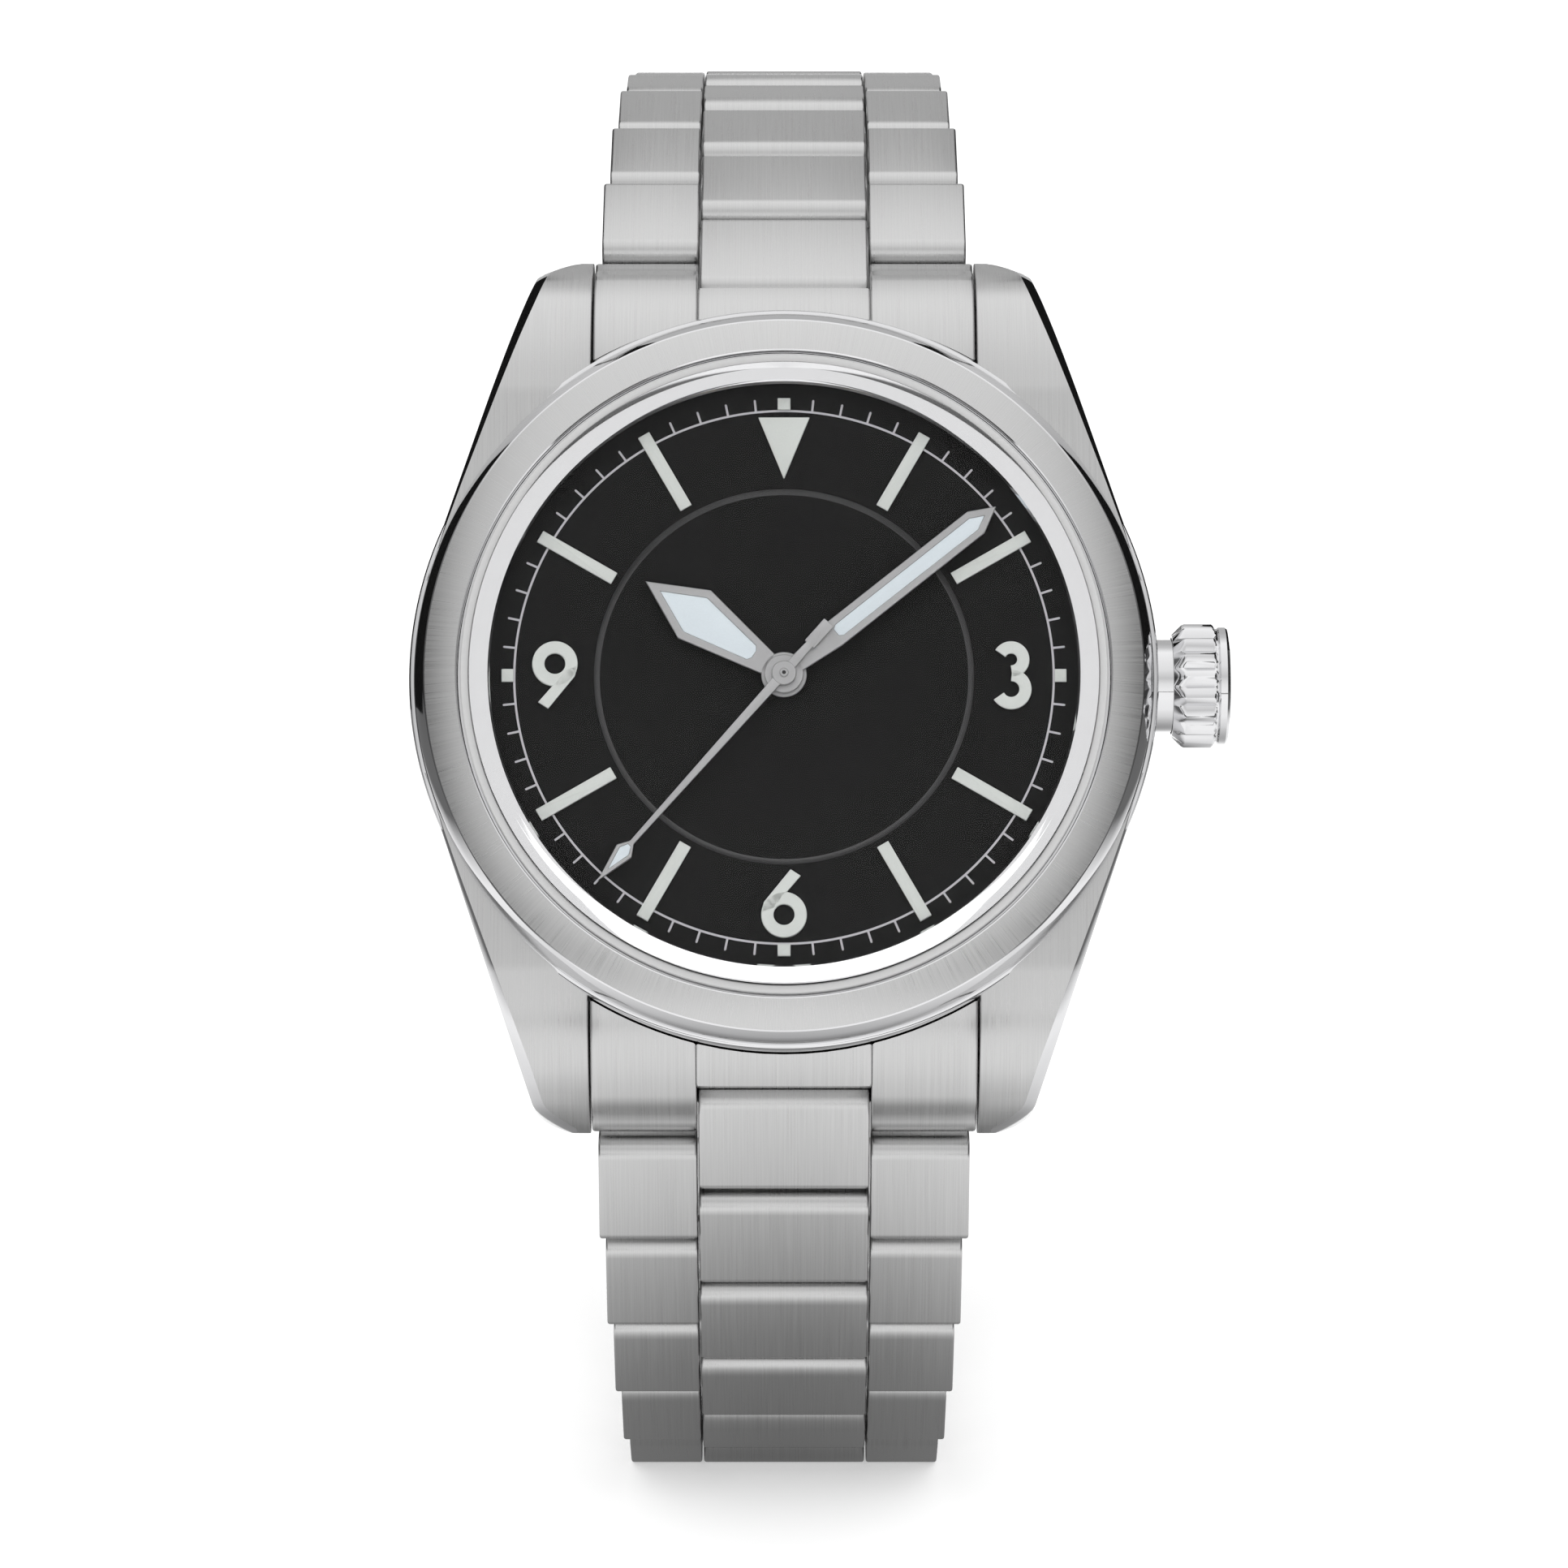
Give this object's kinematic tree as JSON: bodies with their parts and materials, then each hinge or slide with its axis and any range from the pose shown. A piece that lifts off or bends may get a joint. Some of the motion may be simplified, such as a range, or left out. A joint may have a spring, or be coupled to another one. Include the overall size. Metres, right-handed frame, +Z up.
{
  "type": "wristwatch",
  "caption": "Steel wristwatch with a black three-hand dial, screw-down crown and three-piece-link bracelet with folding clasp, closed and standing on its loop.",
  "frame": {"origin": "centre of the flat underside of the two level links on the 6 side, on the floor", "axes": "+Z up, +X towards 3 o'clock and the crown, -Y out of the dial towards the wearer's view; the dial leans back 22 degrees"},
  "size_m": [0.0423, 0.0729, 0.0738],
  "materials": {
    "brushed_steel": "satin",
    "polished_steel": "polished",
    "movement_steel": "satin",
    "movement_brass": "satin",
    "dial_black": "matte",
    "lume": "matte",
    "hand_steel": "satin",
    "crystal": "clear",
    "gasket": "matte",
    "crystal_gasket": "matte"
  },
  "bodies": {
    "case": {"case_body": "brushed_steel", "bezel": "brushed_steel", "crystal": "crystal", "crystal_gasket": "crystal_gasket", "rehaut_ring": "polished_steel", "dial": "dial_black", "hour_markers": "lume", "case_back": "brushed_steel", "case_back_gasket": "gasket", "movement_ring": "movement_steel", "crown_tube": "polished_steel", "main_plate": "movement_steel", "train_bridge": "movement_steel", "balance_bridge": "movement_steel", "end_link_12": "brushed_steel", "end_link_6": "brushed_steel", "lug_spring_bars": "polished_steel"},
    "crown_carrier": {"crown_gasket": "gasket"},
    "crown": {"crown": "polished_steel", "winding_stem": "movement_steel"},
    "seconds": {"fourth_wheel": "movement_brass", "seconds_hand": "hand_steel"},
    "minute": {"cannon_pinion": "movement_steel", "minute_hand": "hand_steel"},
    "hour": {"hour_wheel": "movement_brass", "hour_hand": "hand_steel"},
    "third_wheel": {"third_wheel": "movement_brass"},
    "escape_wheel": {"escape_wheel": "movement_brass"},
    "barrel": {"mainspring_barrel": "movement_brass"},
    "pallet_fork": {"pallet_fork": "movement_steel"},
    "balance": {"balance_wheel": "movement_brass"},
    "rotor": {"rotor": "movement_steel"},
    "link_12_1": {"link_12_1": "brushed_steel"},
    "link_12_2": {"link_12_2": "brushed_steel"},
    "link_12_3": {"link_12_3": "brushed_steel"},
    "link_12_4": {"link_12_4": "brushed_steel"},
    "link_12_5": {"link_12_5": "brushed_steel"},
    "link_12_6": {"link_12_6": "brushed_steel"},
    "link_12_7": {"link_12_7": "brushed_steel"},
    "link_12_8": {"link_12_8": "brushed_steel"},
    "link_12_9": {"link_12_9": "brushed_steel"},
    "link_12_10": {"link_12_10": "brushed_steel"},
    "link_6_1": {"link_6_1": "brushed_steel"},
    "link_6_2": {"link_6_2": "brushed_steel"},
    "link_6_3": {"link_6_3": "brushed_steel"},
    "link_6_4": {"link_6_4": "brushed_steel"},
    "link_6_5": {"link_6_5": "brushed_steel"},
    "link_6_6": {"link_6_6": "brushed_steel"},
    "link_6_7": {"link_6_7": "brushed_steel"},
    "link_6_8": {"link_6_8": "brushed_steel"},
    "link_6_9": {"link_6_9": "brushed_steel"},
    "link_6_10": {"link_6_10": "brushed_steel"},
    "clasp_cover": {"clasp_cover": "brushed_steel", "clasp_hinge_pin": "polished_steel"},
    "clasp_blade_outer": {"clasp_blade_outer": "brushed_steel"},
    "clasp_blade_inner": {"clasp_blade_inner": "brushed_steel"},
    "clasp_button_left": {"clasp_button_left": "polished_steel"},
    "clasp_button_right": {"clasp_button_right": "polished_steel"}
  },
  "joints": [
    {"name": "crown_pull", "type": "slide", "parent": "case", "child": "crown_carrier", "axis": [1, 0, 0], "range_m": [0, 0.0012]},
    {"name": "crown_turn", "type": "hinge", "parent": "crown_carrier", "child": "crown", "pos_m": [0, -0.01653, 0.04625], "axis": [1, 0, 0], "continuous": true},
    {"name": "seconds_turn", "type": "hinge", "parent": "case", "child": "seconds", "pos_m": [0, -0.01727, 0.04655], "axis": [0, 0.9272, -0.3746], "continuous": true},
    {"name": "minute_turn", "type": "hinge", "parent": "case", "child": "minute", "pos_m": [0, -0.01727, 0.04655], "axis": [0, 0.9272, -0.3746], "continuous": true},
    {"name": "hour_turn", "type": "hinge", "parent": "case", "child": "hour", "pos_m": [0, -0.01727, 0.04655], "axis": [0, 0.9272, -0.3746], "continuous": true},
    {"name": "third_wheel_turn", "type": "hinge", "parent": "case", "child": "third_wheel", "pos_m": [0.0036, -0.01892, 0.04247], "axis": [0, 0.9272, -0.3746], "continuous": true},
    {"name": "escape_wheel_turn", "type": "hinge", "parent": "case", "child": "escape_wheel", "pos_m": [-0.0039, -0.01824, 0.04413], "axis": [0, 0.9272, -0.3746], "continuous": true},
    {"name": "barrel_turn", "type": "hinge", "parent": "case", "child": "barrel", "pos_m": [0, -0.01442, 0.05359], "axis": [0, 0.9272, -0.3746], "continuous": true},
    {"name": "pallet_rock", "type": "hinge", "parent": "case", "child": "pallet_fork", "pos_m": [-0.0069, -0.01937, 0.04135], "axis": [0, 0.9272, -0.3746], "range_deg": [-8, 8]},
    {"name": "balance_swing", "type": "hinge", "parent": "case", "child": "balance", "pos_m": [-0.0022, -0.02034, 0.03894], "axis": [0, 0.9272, -0.3746], "range_deg": [-270, 270], "stiffness_Nm_per_rad": 0.000001},
    {"name": "rotor_swing", "type": "hinge", "parent": "case", "child": "rotor", "pos_m": [0, -0.01727, 0.04655], "axis": [0, 0.9272, -0.3746], "continuous": true},
    {"name": "hinge_12_1", "type": "hinge", "parent": "case", "child": "link_12_1", "pos_m": [0, -0.0062, 0.06526], "axis": [1, 0, 0], "range_deg": [0, 41]},
    {"name": "hinge_12_2", "type": "hinge", "parent": "link_12_1", "child": "link_12_2", "pos_m": [0, -0.00106, 0.06835], "axis": [1, 0, 0], "range_deg": [0, 13]},
    {"name": "hinge_12_3", "type": "hinge", "parent": "link_12_2", "child": "link_12_3", "pos_m": [0, 0.00451, 0.0706], "axis": [1, 0, 0], "range_deg": [0, 13]},
    {"name": "hinge_12_4", "type": "hinge", "parent": "link_12_3", "child": "link_12_4", "pos_m": [0, 0.01035, 0.07195], "axis": [1, 0, 0], "range_deg": [0, 13]},
    {"name": "hinge_12_5", "type": "hinge", "parent": "link_12_4", "child": "link_12_5", "pos_m": [0, 0.01634, 0.07237], "axis": [1, 0, 0], "range_deg": [0, 14]},
    {"name": "hinge_12_6", "type": "hinge", "parent": "link_12_5", "child": "link_12_6", "pos_m": [0, 0.0223, 0.07174], "axis": [1, 0, 0], "range_deg": [0, 15]},
    {"name": "hinge_12_7", "type": "hinge", "parent": "link_12_6", "child": "link_12_7", "pos_m": [0, 0.02804, 0.06999], "axis": [1, 0, 0], "range_deg": [0, 15]},
    {"name": "hinge_12_8", "type": "hinge", "parent": "link_12_7", "child": "link_12_8", "pos_m": [0, 0.03334, 0.06717], "axis": [1, 0, 0], "range_deg": [0, 16]},
    {"name": "hinge_12_9", "type": "hinge", "parent": "link_12_8", "child": "link_12_9", "pos_m": [0, 0.03794, 0.06331], "axis": [1, 0, 0], "range_deg": [0, 17]},
    {"name": "hinge_12_10", "type": "hinge", "parent": "link_12_9", "child": "link_12_10", "pos_m": [0, 0.04155, 0.05852], "axis": [1, 0, 0], "range_deg": [0, 19]},
    {"name": "hinge_6_1", "type": "hinge", "parent": "case", "child": "link_6_1", "pos_m": [0, -0.02231, 0.02539], "axis": [-1, 0, 0], "range_deg": [0, 39]},
    {"name": "hinge_6_2", "type": "hinge", "parent": "link_6_1", "child": "link_6_2", "pos_m": [0, -0.02096, 0.01955], "axis": [-1, 0, 0], "range_deg": [0, 15]},
    {"name": "hinge_6_3", "type": "hinge", "parent": "link_6_2", "child": "link_6_3", "pos_m": [0, -0.01852, 0.01407], "axis": [-1, 0, 0], "range_deg": [0, 14.5]},
    {"name": "hinge_6_4", "type": "hinge", "parent": "link_6_3", "child": "link_6_4", "pos_m": [0, -0.01512, 0.00912], "axis": [-1, 0, 0], "range_deg": [0, 14]},
    {"name": "hinge_6_5", "type": "hinge", "parent": "link_6_4", "child": "link_6_5", "pos_m": [0, -0.01091, 0.00484], "axis": [-1, 0, 0], "range_deg": [0, 14.5]},
    {"name": "hinge_6_6", "type": "hinge", "parent": "link_6_5", "child": "link_6_6", "pos_m": [0, -0.006, 0.0014], "axis": [-1, 0, 0], "range_deg": [0, 39]},
    {"name": "hinge_6_7", "type": "hinge", "parent": "link_6_6", "child": "link_6_7", "pos_m": [0, 0, 0.0014], "axis": [-1, 0, 0], "range_deg": [0, 4]},
    {"name": "hinge_6_8", "type": "hinge", "parent": "link_6_7", "child": "link_6_8", "pos_m": [0, 0.006, 0.0014], "axis": [-1, 0, 0], "range_deg": [0, 14]},
    {"name": "hinge_6_9", "type": "hinge", "parent": "link_6_8", "child": "link_6_9", "pos_m": [0, 0.01191, 0.00244], "axis": [-1, 0, 0], "range_deg": [0, 18]},
    {"name": "hinge_6_10", "type": "hinge", "parent": "link_6_9", "child": "link_6_10", "pos_m": [0, 0.01739, 0.00488], "axis": [-1, 0, 0], "range_deg": [0, 18]},
    {"name": "clasp_cover_hinge", "type": "hinge", "parent": "link_12_10", "child": "clasp_cover", "pos_m": [0, 0.04379, 0.05296], "axis": [1, 0, 0], "range_deg": [0, 25]},
    {"name": "clasp_fold", "type": "hinge", "parent": "clasp_cover", "child": "clasp_blade_outer", "pos_m": [0, 0.02696, 0.01292], "axis": [1, 0, 0], "range_deg": [0, 50]},
    {"name": "clasp_unfold", "type": "hinge", "parent": "clasp_blade_outer", "child": "clasp_blade_inner", "pos_m": [0, 0.0425, 0.04659], "axis": [1, 0, 0], "range_deg": [-40, 0]},
    {"name": "button_left", "type": "slide", "parent": "clasp_cover", "child": "clasp_button_left", "axis": [1, 0, 0], "range_m": [0, 0.0004], "stiffness_N_per_m": 600},
    {"name": "button_right", "type": "slide", "parent": "clasp_cover", "child": "clasp_button_right", "axis": [-1, 0, 0], "range_m": [0, 0.0004], "stiffness_N_per_m": 600}
  ],
  "couplings": [
    {"joint": "minute_turn", "follows": "seconds_turn", "ratio": 0.016667},
    {"joint": "hour_turn", "follows": "seconds_turn", "ratio": 0.0013889},
    {"joint": "third_wheel_turn", "follows": "seconds_turn", "ratio": -0.13333},
    {"joint": "escape_wheel_turn", "follows": "seconds_turn", "ratio": -12},
    {"joint": "barrel_turn", "follows": "seconds_turn", "ratio": -0.0022222},
    {"joint": "clasp_unfold", "follows": "clasp_fold", "ratio": -0.8}
  ]
}
